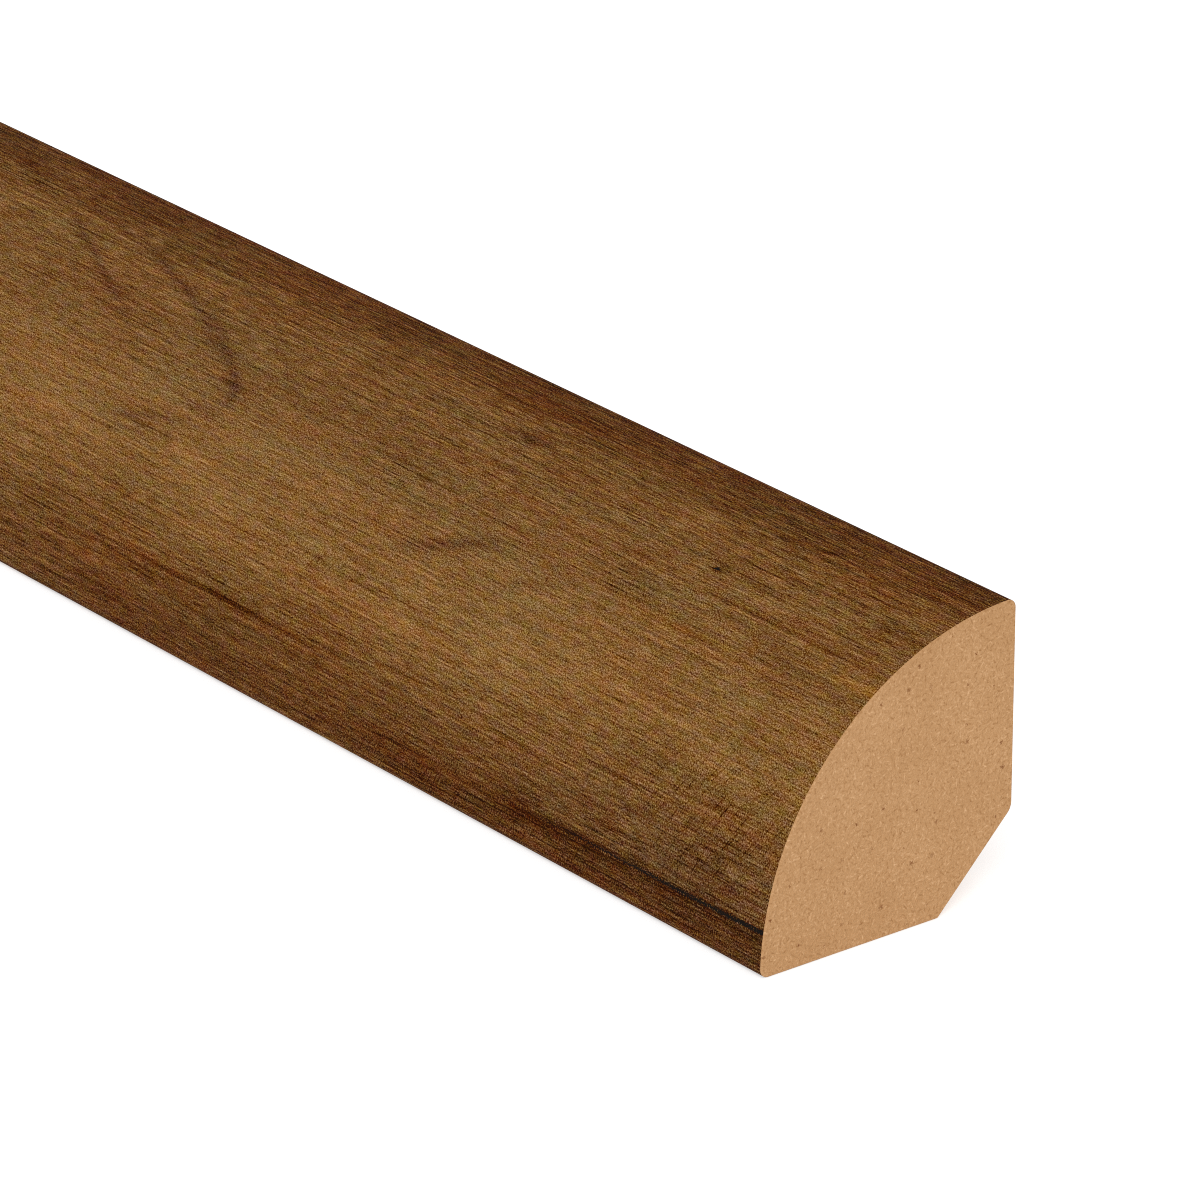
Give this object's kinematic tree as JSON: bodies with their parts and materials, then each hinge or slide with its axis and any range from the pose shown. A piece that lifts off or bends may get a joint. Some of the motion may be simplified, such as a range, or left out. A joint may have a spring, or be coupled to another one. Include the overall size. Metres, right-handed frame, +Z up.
{
  "type": "quarter round moulding",
  "caption": "Long quarter round trim strip of fibreboard with a wood-print face and a bevelled hidden corner, for covering the joint between floor and wall.",
  "frame": {"origin": "on the floor, midway along the strip and midway between its toe and its wall face", "axes": "+X along the strip, +Y towards the wall that the strip stands against, +Z up"},
  "size_m": [2.3876, 0.019, 0.019],
  "materials": {
    "moulding": "brown printed wood grain, satin, on the round face and the outer 4 mm of both flat faces; bare tan fibreboard on the sawn ends, the bevel and the rest of the flat faces"
  },
  "bodies": {
    "root": {"moulding": "moulding"}
  },
  "joints": []
}
